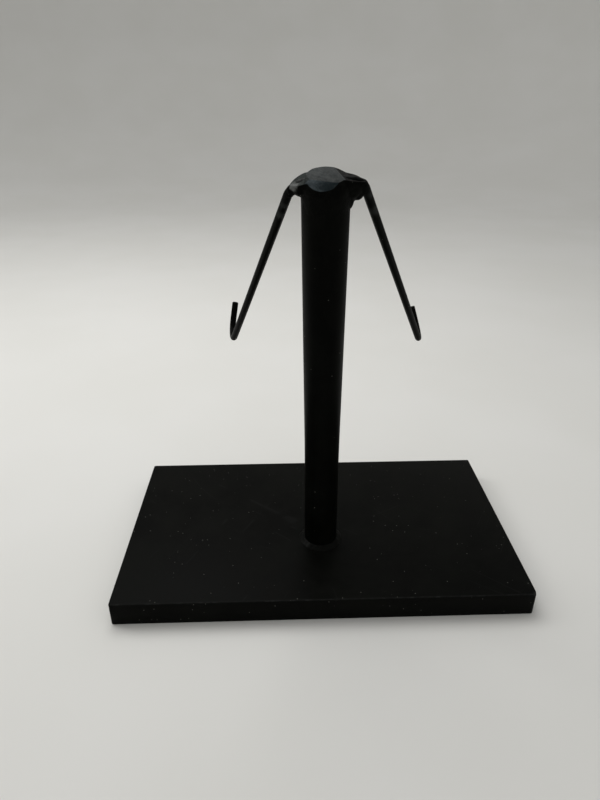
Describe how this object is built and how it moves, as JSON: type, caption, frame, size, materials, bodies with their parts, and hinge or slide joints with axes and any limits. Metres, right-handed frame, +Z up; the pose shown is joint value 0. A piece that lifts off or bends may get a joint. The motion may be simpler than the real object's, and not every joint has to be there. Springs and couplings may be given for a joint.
{
  "type": "trumpet stand",
  "caption": "Black steel table stand for a trumpet: flat plate, forward-bent round post and two hooked wire arms.",
  "frame": {"origin": "centre of the base plate's underside, which rests on the table", "axes": "+X along the plate's long side to the viewer's right, -Y to the front, the way the post leans, +Z up"},
  "size_m": [0.1524, 0.0941, 0.1526],
  "materials": {
    "black_paint": "satin black paint with a little dust and a few rubbed spots",
    "rubbed_weld": "black paint rubbed through to grey on ground weld flats"
  },
  "bodies": {
    "root": {"base_plate": "black_paint", "post": "black_paint", "foot_weld": "black_paint", "left_arm": "black_paint", "right_arm": "black_paint", "top_weld": "rubbed_weld", "left_root_weld": "black_paint", "right_root_weld": "black_paint"}
  },
  "joints": []
}
